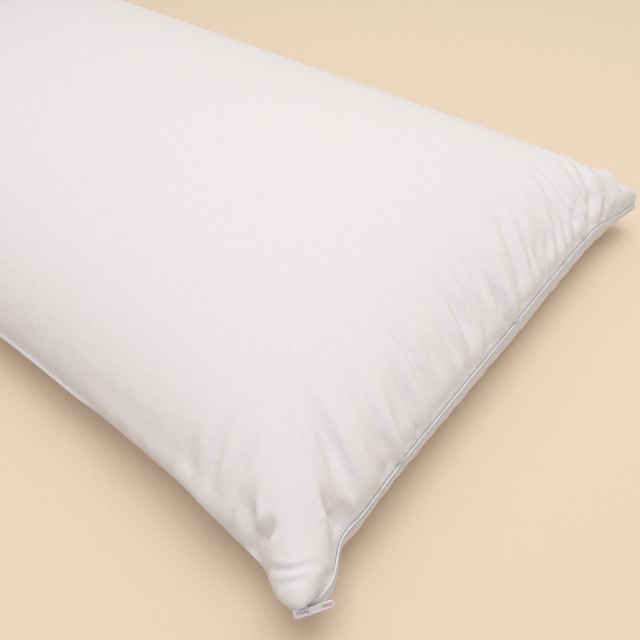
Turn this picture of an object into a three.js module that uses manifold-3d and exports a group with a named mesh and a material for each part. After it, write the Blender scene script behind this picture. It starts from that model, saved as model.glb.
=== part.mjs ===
// A filled bed pillow in a zipped cotton cover, lying on its back on a flat surface.
// Units are millimetres. +Z is up and +X points to the zipped short side. The origin lies on the
// resting surface under the middle of the whole part.
import * as THREE from "three";
import { mergeVertices } from "three/addons/utils/BufferGeometryUtils.js";
import Module from "manifold-3d";

const wasm = await Module();
wasm.setup();

// Pillow, measured filled, between the corners that its sides would meet in
const LENGTH = 900;
const WIDTH = 490;
const CROWN_HEIGHT = 113;

// How far the middle of each side is drawn in. A higher power keeps the side straight for longer
// before it turns out to its ears.
const SHORT_SIDES = { drawIn: 17.5, power: 6.5 };
const NEAR_SIDE = { drawIn: 17.5, power: 9 };
const FAR_SIDE = { drawIn: 15, power: 7.2 };
const DRAW_IN_POWER = 3;

// Roundness of the panels: a higher power flattens the crown, a lower swell fills the edges, and
// a higher fullness puffs the ears
const CROWN_POWER = { along: 3.9, across: 2.55 };
const PANEL_SWELL = 0.52;
const EAR_FULLNESS = 1.69;

// Share of the panel's swell at which the underside has settled flat on the surface
const RESTING_SHARE = 0.62;

// The seam's height over the surface, along the sides and at the ears
const SIDE_SEAM_HEIGHT = 41.5;
const EAR_START = { along: 0.58, across: 0.5 };

// Each ear: its seam's height, and how far its tip is turned in from the corner both ways
const EARS = {
  zipNear: { height: 35, cut: 11 },
  zipFar: { height: 39.5, cut: 5.25 },
  plainNear: { height: 36, cut: 6 },
  plainFar: { height: 40, cut: 6 },
};
const EAR_CUT_POWER = { along: 41, across: 22 };

// Where the filling pushes the near ear out of the drawn-in outline, and the waist behind it
const BULGES = [
  { x: 425, y: -240, reach: 16, push: [0, -8] },
  { x: 443, y: -218, reach: 12, push: [4, 0] },
  { x: 435, y: -191, reach: 14, push: [-3.5, 0] },
];

// Sewn edge: a narrow fell on three sides, a taller seat for the zip on the fourth
const FELL_HEIGHT = 2.4;
const ZIP_SEAT_HEIGHT = 7.6;
const ZIP_SEAT_FADE = 0.05;

// Main flutes that the seams draw into the top panel. `side` is the seam they start from, `at` the
// place along it, `lean` how far they drift along it on their way in, `reach` their length,
// `width` half their breadth and `depth` their drop.
const FLUTES = [
  { side: "zip", at: -186, lean: 24, reach: 60, width: 9, depth: 5 },
  { side: "zip", at: -139, lean: 12, reach: 60, width: 10, depth: 2.5 },
  { side: "zip", at: -80, lean: 20, reach: 60, width: 9, depth: 2.5 },
  { side: "zip", at: -39, lean: 14, reach: 55, width: 8, depth: 2 },
  { side: "zip", at: 20, lean: 28, reach: 75, width: 9, depth: 3 },
  { side: "zip", at: 81, lean: 36, reach: 60, width: 8, depth: 2.5 },
  { side: "zip", at: 105, lean: 42, reach: 65, width: 8, depth: 2.5 },
  { side: "zip", at: 158, lean: 60, reach: 40, width: 8, depth: 3.5 },
  { side: "zip", at: 186, lean: 45, reach: 30, width: 7, depth: 3.5 },
  { side: "near", at: 398, lean: -34, reach: 45, width: 8, depth: 5 },
  { side: "near", at: 373, lean: -14, reach: 60, width: 8, depth: 4 },
  { side: "near", at: 351, lean: -14, reach: 60, width: 8, depth: 3.5 },
  { side: "near", at: -365, lean: 6, reach: 70, width: 10, depth: 4 },
  { side: "far", at: 371, lean: -6, reach: 60, width: 10, depth: 4 },
  { side: "far", at: -369, lean: 6, reach: 65, width: 10, depth: 4 },
  { side: "plain", at: -178, lean: 6, reach: 65, width: 9, depth: 4 },
  { side: "plain", at: 182, lean: -6, reach: 65, width: 9, depth: 4 },
];
const FLUTE_RISE_END = 0.12;
const FLUTE_FADE_START = 0.3;
const NORMAL_STEP = 0.002;

// Panel grid
const CELLS_ALONG = 48;
const CELLS_ACROSS = 40;
const CROWDING = 0.34;

// Zip chain: tape with its coil standing proud, sewn along the seat
const GAP = 0.3;
const TAPE_WIDTH = 7;
const TAPE_THICKNESS = 0.6;
const COIL_WIDTH = 3.8;
const COIL_CREST_WIDTH = 2.8;
const CHAIN_THICKNESS = 1.8;
const CHAIN_FREE_END = 13;
const CHAIN_FIRST_STATION = 2;
const FREE_END_STAND_OFF = 2.4;
const STAND_OFF_STATIONS = 5;
const FREE_END_BEARING = THREE.MathUtils.degToRad(57);

// Slider: two plates round the chain, joined by a neck, with a bridge for the pull tab
const SLIDER_LENGTH = 9.4;
const SLIDER_FRONT_WIDTH = 8;
const SLIDER_REAR_WIDTH = 6.6;
const PLATE_THICKNESS = 0.9;
const NECK_LENGTH = 1.4;
const REAR_CHAMFER = 1;
const FRONT_SHOULDER = 2;
const COLUMN_HEIGHT = 20;
const BRIDGE_LENGTH = 6.4;
const BRIDGE_WIDTH = 1.5;
const BRIDGE_BAR = 0.9;
const BRIDGE_CLEAR = 1.7;
const BRIDGE_CHAMFER = 0.5;
const BRIDGE_SHOULDER = 0.2;
const BRIDGE_SINK = 0.2;

// Pull tab: a flat tab with a hole for the bridge and a window near its free end
const PULL_LENGTH = 21;
const PULL_WIDTH = 5.2;
const PULL_NECK_WIDTH = 4.4;
const PULL_THICKNESS = 1.1;
const PULL_BAR = 1.2;
const PULL_CHAMFER = 0.8;
const PULL_TAPER = 2;
const PULL_HOLE = { length: 3.6, width: 2.4 };
const PULL_WINDOW = { length: 5.6, width: 2.6, fromEnd: 1.5 };

// Points of one geometry closer than this are the same point
const WELD_DISTANCE = 1e-4;

const COLOURS = { cotton: 0xf1ecec, tape: 0xf3f0f2, metal: 0xc9c9ce };

const smooth = THREE.MathUtils.smoothstep;
const sideOf = (value) => (value < 0 ? -1 : 1);

/** Stations from -1 to 1, closer together towards the seams. */
function stations(cells) {
  return Array.from({ length: cells + 1 }, (_, index) => {
    const x = (2 * index) / cells - 1;
    return x * (1 + CROWDING * (1 - x * x));
  });
}

/** The ear that the point (s, t) of the cover belongs to. */
function earAt(s, t) {
  if (s > 0) return t < 0 ? EARS.zipNear : EARS.zipFar;
  return t < 0 ? EARS.plainNear : EARS.plainFar;
}

/** How far a side is drawn in at a place from -1 to 1 along it. */
function drawnIn(side, place) {
  return side.drawIn * (1 - Math.abs(place) ** side.power);
}

/** The plan of the cover: both panels share it. s runs along the length and t across it. */
function planPoint(s, t) {
  const cut = earAt(s, t).cut * Math.abs(s) ** EAR_CUT_POWER.along * Math.abs(t) ** EAR_CUT_POWER.across;
  const halfLength = LENGTH / 2 - drawnIn(SHORT_SIDES, t) * Math.abs(s) ** DRAW_IN_POWER;
  const halfWidth = WIDTH / 2 - drawnIn(t < 0 ? NEAR_SIDE : FAR_SIDE, s) * Math.abs(t) ** DRAW_IN_POWER;
  const drawn = new THREE.Vector2(s * halfLength - sideOf(s) * cut, t * halfWidth - sideOf(t) * cut);
  const point = drawn.clone();
  for (const { x, y, reach, push } of BULGES) {
    const distance = drawn.distanceTo(new THREE.Vector2(x, y)) / reach;
    point.addScaledVector(new THREE.Vector2(...push), Math.exp(-distance * distance));
  }
  return point;
}

/** How high the seam's middle would run at (s, t): level along the sides, and off to the ears. */
function seamHeight(s, t) {
  const ear = smooth(Math.abs(s), EAR_START.along, 1) * smooth(Math.abs(t), EAR_START.across, 1);
  return THREE.MathUtils.lerp(SIDE_SEAM_HEIGHT, earAt(s, t).height, ear);
}

/** How far the panel has swelled at (s, t): 0 on the seams, 1 at the crown. */
function swell(s, t) {
  const alongSwell = 1 - Math.abs(s) ** CROWN_POWER.along;
  const acrossSwell = 1 - Math.abs(t) ** CROWN_POWER.across;
  if (alongSwell <= 0 || acrossSwell <= 0) return 0;
  const both = alongSwell ** -EAR_FULLNESS + acrossSwell ** -EAR_FULLNESS - 1;
  return both ** (-PANEL_SWELL / EAR_FULLNESS);
}

/** Height of the sewn edge: the zip's seat, fading into the fell round the two ears. */
function edgeHeight(s) {
  return THREE.MathUtils.lerp(FELL_HEIGHT, ZIP_SEAT_HEIGHT, smooth(s, 1 - ZIP_SEAT_FADE, 1));
}

/** Place of a flute's seam coordinates: distance in from its seam and place along it. */
function fromSeam(side, point) {
  if (side === "zip") return { inwards: LENGTH / 2 - SHORT_SIDES.drawIn - point.x, along: point.y };
  if (side === "plain") return { inwards: LENGTH / 2 - SHORT_SIDES.drawIn + point.x, along: point.y };
  if (side === "near") return { inwards: WIDTH / 2 - NEAR_SIDE.drawIn + point.y, along: point.x };
  return { inwards: WIDTH / 2 - FAR_SIDE.drawIn - point.y, along: point.x };
}

/** How far the flutes press the top panel in at a point of its plan. */
function fluteDrop(point) {
  let drop = 0;
  for (const flute of FLUTES) {
    const { inwards, along } = fromSeam(flute.side, point);
    const share = inwards / flute.reach;
    if (share <= 0 || share >= 1) continue;
    const offset = (along - flute.at - flute.lean * share) / flute.width;
    const taper = smooth(share, 0, FLUTE_RISE_END) * (1 - smooth(share, FLUTE_FADE_START, 1));
    drop += flute.depth * Math.exp(-offset * offset) * taper;
  }
  return drop;
}

/** A point of the top panel before its flutes. */
function topBase(s, t) {
  const plan = planPoint(s, t);
  const edge = seamHeight(s, t) + edgeHeight(s) / 2;
  return new THREE.Vector3(plan.x, plan.y, edge + (CROWN_HEIGHT - edge) * swell(s, t));
}

/** A point of the top panel, pressed in along the panel's normal where a flute runs. */
function topPoint(s, t) {
  const point = topBase(s, t);
  const drop = fluteDrop(point);
  if (drop === 0 || Math.abs(s) === 1 || Math.abs(t) === 1) return point;
  const alongEdge = topBase(s + NORMAL_STEP, t).sub(topBase(s - NORMAL_STEP, t));
  const acrossEdge = topBase(s, t + NORMAL_STEP).sub(topBase(s, t - NORMAL_STEP));
  return point.addScaledVector(alongEdge.cross(acrossEdge).normalize(), -drop);
}

/** A point of the bottom panel, which settles flat on the surface away from the seams. */
function bottomPoint(s, t) {
  const plan = planPoint(s, t);
  const edge = seamHeight(s, t) - edgeHeight(s) / 2;
  const lift = 1 - Math.min(1, swell(s, t) / RESTING_SHARE);
  return new THREE.Vector3(plan.x, plan.y, edge * lift * lift);
}

/** A closed solid from shared vertices and outward triangles. */
function closedGeometry(points, triangles) {
  const geometry = new THREE.BufferGeometry();
  const values = points.flatMap((point) => [point.x, point.y, point.z]);
  geometry.setAttribute("position", new THREE.Float32BufferAttribute(values, 3));
  geometry.setIndex(triangles.flat());
  geometry.computeVertexNormals();
  return geometry;
}

/** The filled cover: top and bottom panels over one grid, joined by the sewn edge. */
function pillowGeometry() {
  const alongStations = stations(CELLS_ALONG);
  const acrossStations = stations(CELLS_ACROSS);
  const columns = acrossStations.length;
  const panelSize = alongStations.length * columns;
  const top = alongStations.flatMap((s) => acrossStations.map((t) => topPoint(s, t)));
  const bottom = alongStations.flatMap((s) => acrossStations.map((t) => bottomPoint(s, t)));
  const at = (i, j) => i * columns + j;
  const triangles = [];
  for (let i = 0; i < CELLS_ALONG; i += 1) {
    for (let j = 0; j < CELLS_ACROSS; j += 1) {
      const [a, b, c, d] = [at(i, j), at(i + 1, j), at(i + 1, j + 1), at(i, j + 1)];
      triangles.push([a, b, c], [a, c, d]);
      triangles.push([panelSize + a, panelSize + c, panelSize + b]);
      triangles.push([panelSize + a, panelSize + d, panelSize + c]);
    }
  }
  for (const [a, b] of rimSteps(at)) {
    triangles.push([a, panelSize + a, panelSize + b], [a, panelSize + b, b]);
  }
  return closedGeometry([...top, ...bottom], triangles);
}

/** Steps along the rim of the grid, counter-clockwise seen from above. */
function rimSteps(at) {
  const steps = [];
  for (let i = 0; i < CELLS_ALONG; i += 1) {
    steps.push([at(i, 0), at(i + 1, 0)]);
    steps.push([at(i + 1, CELLS_ACROSS), at(i, CELLS_ACROSS)]);
  }
  for (let j = 0; j < CELLS_ACROSS; j += 1) {
    steps.push([at(CELLS_ALONG, j), at(CELLS_ALONG, j + 1)]);
    steps.push([at(0, j + 1), at(0, j)]);
  }
  return steps;
}

/** Outward direction in plan at a station, long enough to keep an offset line parallel. */
function miter(before, here, after) {
  const outward = (from, to) => new THREE.Vector2(to.y - from.y, from.x - to.x).normalize();
  const first = before ? outward(before, here) : outward(here, after);
  const second = after ? outward(here, after) : first;
  const middle = first.clone().add(second).normalize();
  return middle.divideScalar(middle.dot(second));
}

/** Line of the chain's inner face, from its straight free end, off the near ear's tip, to the far ear. */
function chainLine() {
  const seam = stations(CELLS_ACROSS).map((t) => ({ plan: planPoint(1, t), z: seamHeight(1, t) }));
  const line = [];
  for (let index = CHAIN_FIRST_STATION; index < seam.length; index += 1) {
    const out = miter(seam[index - 1]?.plan, seam[index].plan, seam[index + 1]?.plan);
    const nearEnd = 1 - smooth(index - CHAIN_FIRST_STATION, 0, STAND_OFF_STATIONS);
    const standOff = THREE.MathUtils.lerp(GAP, FREE_END_STAND_OFF, nearEnd);
    line.push({ plan: seam[index].plan.clone().addScaledVector(out, standOff), z: seam[index].z, out });
  }
  const run = new THREE.Vector2(Math.cos(FREE_END_BEARING), Math.sin(FREE_END_BEARING));
  const square = new THREE.Vector2(run.y, -run.x);
  const tip = line[0].plan.clone().addScaledVector(run, -CHAIN_FREE_END);
  line[0].out = miter(tip, line[0].plan, line[1].plan);
  line.unshift({ plan: tip, z: line[0].z, out: square });
  return { line, run, square };
}

/** Tape and coil, swept along the chain's line with upright sections. */
function chainGeometry() {
  const section = [
    new THREE.Vector2(-TAPE_WIDTH / 2, 0),
    new THREE.Vector2(TAPE_WIDTH / 2, 0),
    new THREE.Vector2(TAPE_WIDTH / 2, TAPE_THICKNESS),
    new THREE.Vector2(COIL_WIDTH / 2, TAPE_THICKNESS),
    new THREE.Vector2(COIL_CREST_WIDTH / 2, CHAIN_THICKNESS),
    new THREE.Vector2(-COIL_CREST_WIDTH / 2, CHAIN_THICKNESS),
    new THREE.Vector2(-COIL_WIDTH / 2, TAPE_THICKNESS),
    new THREE.Vector2(-TAPE_WIDTH / 2, TAPE_THICKNESS),
  ];
  const { line } = chainLine();
  const points = line.flatMap(({ plan, z, out }) =>
    section.map((corner) => {
      const place = plan.clone().addScaledVector(out, corner.y);
      return new THREE.Vector3(place.x, place.y, z + corner.x);
    }),
  );
  const size = section.length;
  const triangles = [];
  for (let i = 0; i + 1 < line.length; i += 1) {
    for (let k = 0; k < size; k += 1) {
      const next = (k + 1) % size;
      const [a, b, c, d] = [i * size + k, i * size + next, (i + 1) * size + next, (i + 1) * size + k];
      triangles.push([a, b, c], [a, c, d]);
    }
  }
  const last = (line.length - 1) * size;
  for (const [a, b, c] of THREE.ShapeUtils.triangulateShape(section, [])) {
    triangles.push([a, c, b], [last + a, last + b, last + c]);
  }
  return closedGeometry(points, triangles);
}

/** A manifold solid of a closed three.js geometry. */
function toSolid(geometry) {
  const bare = geometry.clone();
  bare.deleteAttribute("normal");
  bare.deleteAttribute("uv");
  const merged = mergeVertices(bare, WELD_DISTANCE);
  return new wasm.Manifold(
    new wasm.Mesh({
      numProp: 3,
      vertProperties: new Float32Array(merged.attributes.position.array),
      triVerts: new Uint32Array(merged.index.array),
    }),
  );
}

/** A three.js geometry of a manifold solid. */
function toGeometry(solid) {
  const mesh = solid.getMesh();
  const geometry = new THREE.BufferGeometry();
  geometry.setAttribute("position", new THREE.BufferAttribute(new Float32Array(mesh.vertProperties), 3));
  geometry.setIndex(new THREE.BufferAttribute(new Uint32Array(mesh.triVerts), 1));
  geometry.computeVertexNormals();
  return geometry;
}

/** An outline with rounded ends, centred on its local X axis. */
function roundedBar(target, from, to, width) {
  const radius = width / 2;
  target.moveTo(from + radius, -radius);
  target.lineTo(to - radius, -radius);
  target.absarc(to - radius, 0, radius, -Math.PI / 2, Math.PI / 2, false);
  target.lineTo(from + radius, radius);
  target.absarc(from + radius, 0, radius, Math.PI / 2, (3 * Math.PI) / 2, false);
  return target;
}

/** Slider in its own frame: +X to its front, +Z away from the cover, chain's inner face on z = 0. */
function sliderGeometry() {
  const half = SLIDER_LENGTH / 2;
  const innerFace = -GAP;
  const outerFace = CHAIN_THICKNESS + GAP;
  const side = new THREE.Shape();
  side.moveTo(-half, innerFace - PLATE_THICKNESS);
  side.lineTo(half, innerFace - PLATE_THICKNESS);
  side.lineTo(half, outerFace + PLATE_THICKNESS);
  side.lineTo(-half, outerFace + PLATE_THICKNESS);
  side.lineTo(-half, outerFace);
  side.lineTo(half - NECK_LENGTH, outerFace);
  side.lineTo(half - NECK_LENGTH, innerFace);
  side.lineTo(-half, innerFace);
  side.closePath();
  const plates = new THREE.ExtrudeGeometry(side, { depth: SLIDER_FRONT_WIDTH, bevelEnabled: false });
  plates.translate(0, 0, -SLIDER_FRONT_WIDTH / 2);
  plates.rotateX(Math.PI / 2);

  const frontHalf = SLIDER_FRONT_WIDTH / 2;
  const rearHalf = SLIDER_REAR_WIDTH / 2;
  const outline = new THREE.Shape();
  outline.moveTo(-half, -rearHalf + REAR_CHAMFER);
  outline.lineTo(-half + REAR_CHAMFER, -rearHalf);
  outline.lineTo(0, -rearHalf);
  outline.lineTo(half - FRONT_SHOULDER, -frontHalf);
  outline.quadraticCurveTo(half, -frontHalf, half, 0);
  outline.quadraticCurveTo(half, frontHalf, half - FRONT_SHOULDER, frontHalf);
  outline.lineTo(0, rearHalf);
  outline.lineTo(-half + REAR_CHAMFER, rearHalf);
  outline.lineTo(-half, rearHalf - REAR_CHAMFER);
  outline.closePath();
  const column = new THREE.ExtrudeGeometry(outline, {
    depth: COLUMN_HEIGHT,
    bevelEnabled: false,
    curveSegments: 5,
  });
  column.translate(0, 0, -COLUMN_HEIGHT / 2);

  const plateTop = outerFace + PLATE_THICKNESS;
  const arch = new THREE.Shape();
  const outer = BRIDGE_LENGTH / 2;
  const inner = outer - BRIDGE_BAR;
  const foot = plateTop - BRIDGE_SINK;
  const ceiling = plateTop + BRIDGE_CLEAR;
  arch.moveTo(-outer, foot);
  arch.lineTo(-inner, foot);
  arch.lineTo(-inner, ceiling - BRIDGE_CHAMFER);
  arch.lineTo(-inner + BRIDGE_CHAMFER, ceiling);
  arch.lineTo(inner - BRIDGE_CHAMFER, ceiling);
  arch.lineTo(inner, ceiling - BRIDGE_CHAMFER);
  arch.lineTo(inner, foot);
  arch.lineTo(outer, foot);
  arch.lineTo(outer, ceiling - BRIDGE_SHOULDER);
  arch.lineTo(inner, ceiling + BRIDGE_BAR);
  arch.lineTo(-inner, ceiling + BRIDGE_BAR);
  arch.lineTo(-outer, ceiling - BRIDGE_SHOULDER);
  arch.closePath();
  const bridge = new THREE.ExtrudeGeometry(arch, { depth: BRIDGE_WIDTH, bevelEnabled: false });
  bridge.translate(0, 0, -BRIDGE_WIDTH / 2);
  bridge.rotateX(Math.PI / 2);

  return toGeometry(toSolid(plates).intersect(toSolid(column)).add(toSolid(bridge)));
}

/** Pull tab in the slider's frame, lying back along the chain with the bridge's rear foot in its hole. */
function pullGeometry() {
  const front = PULL_BAR / 2;
  const end = front - PULL_LENGTH;
  const shape = new THREE.Shape();
  shape.moveTo(front - PULL_CHAMFER, -PULL_NECK_WIDTH / 2);
  shape.lineTo(front, -PULL_NECK_WIDTH / 2 + PULL_CHAMFER);
  shape.lineTo(front, PULL_NECK_WIDTH / 2 - PULL_CHAMFER);
  shape.lineTo(front - PULL_CHAMFER, PULL_NECK_WIDTH / 2);
  shape.lineTo(-PULL_HOLE.length - PULL_TAPER, PULL_WIDTH / 2);
  shape.lineTo(end + PULL_WIDTH / 2, PULL_WIDTH / 2);
  shape.absarc(end + PULL_WIDTH / 2, 0, PULL_WIDTH / 2, Math.PI / 2, (3 * Math.PI) / 2, false);
  shape.lineTo(-PULL_HOLE.length - PULL_TAPER, -PULL_WIDTH / 2);
  shape.closePath();
  const holeFront = front - PULL_BAR;
  const windowEnd = end + PULL_WINDOW.fromEnd;
  shape.holes.push(roundedBar(new THREE.Path(), holeFront - PULL_HOLE.length, holeFront, PULL_HOLE.width));
  const windowStart = windowEnd + PULL_WINDOW.length;
  shape.holes.push(roundedBar(new THREE.Path(), windowEnd, windowStart, PULL_WINDOW.width));
  const geometry = new THREE.ExtrudeGeometry(shape, {
    depth: PULL_THICKNESS,
    bevelEnabled: false,
    curveSegments: 7,
  });
  const plateTop = CHAIN_THICKNESS + GAP + PLATE_THICKNESS;
  geometry.translate(0, 0, plateTop + GAP);
  return geometry;
}

function namedMesh(name, geometry, color, roughness, metalness) {
  const mesh = new THREE.Mesh(geometry, new THREE.MeshStandardMaterial({ color, roughness, metalness }));
  mesh.name = name;
  return mesh;
}

const { line, run, square } = chainLine();
const sliderSeat = new THREE.Group();
const frontway = new THREE.Vector3(-run.x, -run.y, 0);
const outward = new THREE.Vector3(square.x, square.y, 0);
const basis = new THREE.Matrix4().makeBasis(frontway, outward.clone().cross(frontway), outward);
sliderSeat.quaternion.setFromRotationMatrix(basis);
const neckStart = SLIDER_LENGTH / 2 - NECK_LENGTH;
sliderSeat.position.set(line[0].plan.x, line[0].plan.y, line[0].z);
sliderSeat.position.addScaledVector(frontway, GAP - neckStart);
sliderSeat.add(namedMesh("zip_slider", sliderGeometry(), COLOURS.metal, 0.25, 1));
sliderSeat.add(namedMesh("zip_pull", pullGeometry(), COLOURS.metal, 0.28, 1));

const pillow = new THREE.Group();
pillow.add(namedMesh("pillow", pillowGeometry(), COLOURS.cotton, 0.85, 0));
pillow.add(namedMesh("zip_chain", chainGeometry(), COLOURS.tape, 0.6, 0));
pillow.add(sliderSeat);

const box = new THREE.Box3().setFromObject(pillow);
const middle = box.getCenter(new THREE.Vector3());
pillow.position.set(-middle.x, -middle.y, -box.min.z);

export default pillow;
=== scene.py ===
import math

import bmesh
import bpy
import numpy as np
from mathutils import Matrix, Vector


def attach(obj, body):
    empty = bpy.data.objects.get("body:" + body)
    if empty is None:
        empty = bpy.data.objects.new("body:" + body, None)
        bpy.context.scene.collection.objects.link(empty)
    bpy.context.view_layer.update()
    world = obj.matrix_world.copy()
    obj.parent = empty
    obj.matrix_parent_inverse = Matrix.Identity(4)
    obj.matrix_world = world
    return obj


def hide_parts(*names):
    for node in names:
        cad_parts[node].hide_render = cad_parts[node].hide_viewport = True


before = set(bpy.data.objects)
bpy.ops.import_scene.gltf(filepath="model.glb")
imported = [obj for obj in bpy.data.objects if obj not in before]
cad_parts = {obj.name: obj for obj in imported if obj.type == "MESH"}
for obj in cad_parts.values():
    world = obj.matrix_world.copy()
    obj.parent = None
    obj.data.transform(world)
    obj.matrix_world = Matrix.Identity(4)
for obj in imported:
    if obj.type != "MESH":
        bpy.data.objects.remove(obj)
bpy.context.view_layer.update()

MM = 0.001
TINY = 1e-9

# Middle of the pillow's own plan in the part's frame
PLAN_MIDDLE = np.array([-5.226, 3.903])

# Pillow, filled, between the corners that its sides would meet in
LENGTH = 900
WIDTH = 490
CROWN_HEIGHT = 113
SHORT_SIDES = {"draw_in": 17.5, "power": 6.5}
NEAR_SIDE = {"draw_in": 17.5, "power": 9}
FAR_SIDE = {"draw_in": 15, "power": 7.2}
DRAW_IN_POWER = 3
CROWN_POWER = {"along": 3.9, "across": 2.55}
PANEL_SWELL = 0.52
EAR_FULLNESS = 1.69
RESTING_SHARE = 0.62

# How far the foot of the top panel hangs out over the seam, by the place along each side
OVERHANG_SHARE = 0.3
OVERHANG_GROWS = (0.8, 0.95)
ZIP_OVERHANG = {"place": [-1, -0.94, -0.86, 0.8, 0.9, 1], "reach": [5, 4, 0.6, 0.6, 1.5, 1.5]}
NEAR_OVERHANG = {
    "place": [-1, 0.46, 0.58, 0.8, 0.84, 0.88, 0.92, 1],
    "reach": [0.6, 0.6, 3, 4, 1, 1, 4, 5],
}

# How far the underside swells out past each seam before it turns in to the floor
ZIP_BELLY = {"place": [-1, -0.6, -0.3, 0.2, 0.6, 0.8, 1], "swell": [4, 1.5, 2.5, 5, 5.5, 2, -5]}
NEAR_BELLY = -2.5
FAR_BELLY = 4
PLAIN_BELLY = 4
BELLY_POWER = 10

# The seam's height over the floor, and how far each ear's tip is turned in from its corner
SIDE_SEAM_HEIGHT = 41.5
EAR_START = {"along": 0.58, "across": 0.5}
EARS = {
    ("zip", "near"): {"height": 35, "cut": 11},
    ("zip", "far"): {"height": 39.5, "cut": 5.25},
    ("plain", "near"): {"height": 36, "cut": 6},
    ("plain", "far"): {"height": 40, "cut": 6},
}
EAR_CUT_POWER = {"along": 41, "across": 22}

# The far ear hangs lower than its sides: full drop inside the first distances, none past the second
FAR_EAR_DROP = 10
FAR_EAR_INWARDS = (19, 37)
FAR_EAR_ALONG = (222, 160)

# Soft bulges and dents of the outline round the near ear and along the near side
BULGES = [
    {"at": (425, -240), "reach": 16, "push": (0, -8)},
    {"at": (443, -218), "reach": 12, "push": (4, 0)},
    {"at": (435, -191), "reach": 14, "push": (-3.5, 0)},
    {"at": (150, -227), "reach": 120, "push": (0, 2.5)},
    {"at": (354, -229), "reach": 26, "push": (0, -2.5)},
]

# Sewn edge: a pressed fell on three sides, and a taller seat for the zip on the fourth
FELL_HEIGHT = 2.4
ZIP_SEAT_HEIGHT = 7.6
ZIP_SEAT_FADE = 0.05
FELL_SECTION = [(0.8, 0.9), (1.8, 0.8), (2.6, 0.7), (3.0, 0), (2.6, -0.7), (1.8, -0.8), (0.8, -0.9)]
SEAT_SECTION = [(-0.2, 3.8), (-0.4, 3.4), (0, 3.1), (-0.2, 0), (0, -3.1), (-0.4, -3.4), (-0.2, -3.8)]

# Where the near side rolls over its fell, by the place along it, and the reach that a rolled fell keeps
NEAR_ROLL = {"place": [-1, 0.46, 0.56, 0.8, 0.84, 0.88, 0.91, 1], "share": [0, 0, 1, 1, 0.4, 0.4, 1, 1]}
NEAR_ROLL_FADES = (-0.9, -0.6)
ROLLED_FELL = -0.1

# Panel grid: cell size wanted at places from -1 to 1, finest at the seams that show most
CELLS_ALONG = 100
CELLS_ACROSS = 120
SIDE_SAMPLES = 4001
CELL_SIZE_ALONG = {"place": [-1, -0.85, -0.4, 0.55, 0.8, 0.93, 1], "size": [4, 7, 12, 10, 5, 2.6, 2.0]}
CELL_SIZE_ACROSS = {"place": [-1, -0.9, -0.6, 0, 0.6, 0.9, 1], "size": [2.2, 3, 5, 6, 4.4, 2.8, 2.2]}

# Creases on the zip side: points as (distance in from the zip end, place along it), half width, depth
ZIP_CREASES = [
    ([(7, 226), (9, 227), (12, 226)], 1.6, 1.2),
    ([(8, 217), (10, 221), (13, 221)], 1.7, 1.4),
    ([(11, 206), (14, 211), (18, 216)], 1.8, 1.4),
    ([(14, 182), (18, 190), (22, 205)], 2.0, 1.6),
    ([(15, 186), (18, 191), (24, 204)], 2.6, 1.8),
    ([(16, 158), (22, 169), (28, 180), (33, 198)], 3.0, 2.6),
    ([(16, 164), (20, 172), (25, 185)], 2.4, 1.5),
    ([(18, 135), (26, 143), (33, 158), (38, 171)], 2.8, 1.8),
    ([(18, 121), (28, 128), (40, 143)], 2.8, 1.7),
    ([(18, 105), (26, 113), (37, 126), (50, 135), (66, 140)], 3.0, 2.0),
    ([(24, 97), (35, 110), (50, 118)], 2.8, 1.6),
    ([(19, 81), (29, 85), (38, 94), (50, 102)], 3.0, 2.0),
    ([(18, 67), (25, 70), (36, 77), (49, 79)], 2.8, 1.3),
    ([(20, 45), (29, 50), (33, 61)], 2.6, 1.4),
    ([(29, 50), (44, 53), (59, 57)], 3.2, 1.0),
    ([(18, 20), (29, 24), (40, 34), (52, 40), (71, 45), (84, 47)], 3.6, 2.2),
    ([(20, 8), (30, 16), (47, 20), (59, 21)], 3.2, 1.3),
    ([(19, -9), (29, 1), (47, 6), (61, 8)], 3.2, 1.4),
    ([(29, -18), (43, -14), (62, -9), (84, -2)], 3.8, 1.2),
    ([(19, -39), (31, -36), (44, -32)], 3.2, 1.8),
    ([(19, -59), (34, -56), (50, -53), (61, -48)], 3.6, 1.2),
    ([(19, -80), (32, -75), (47, -70)], 3.4, 1.8),
    ([(20, -116), (40, -108), (61, -97)], 4.0, 1.3),
    ([(20, -133), (33, -132), (45, -127)], 3.4, 1.5),
    ([(20, -145), (32, -143), (47, -137)], 3.6, 1.5),
    ([(18, -186), (28, -184), (38, -175)], 5.5, 3.4),
    ([(16, -199), (26, -191)], 4.0, 2.0),
]

# Creases that start this close to the zip end are carried on past its seam
SEAM_SIDE = 20
PAST_SEAM = 10

# How a crease is drawn: the points of its line and their rounds of smoothing, how many half widths
# it reaches, the shares of its length where it rises and fades, and the shoulders beside it
CREASE_POINTS = 48
CREASE_SMOOTHING = 8
CREASE_REACH = 3.5
CREASE_RISES = (-0.1, 0.25)
CREASE_FADES = (0.35, 1)
SHOULDERS = {"height": 0.3, "place": 1.9, "width": 0.8}

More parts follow.
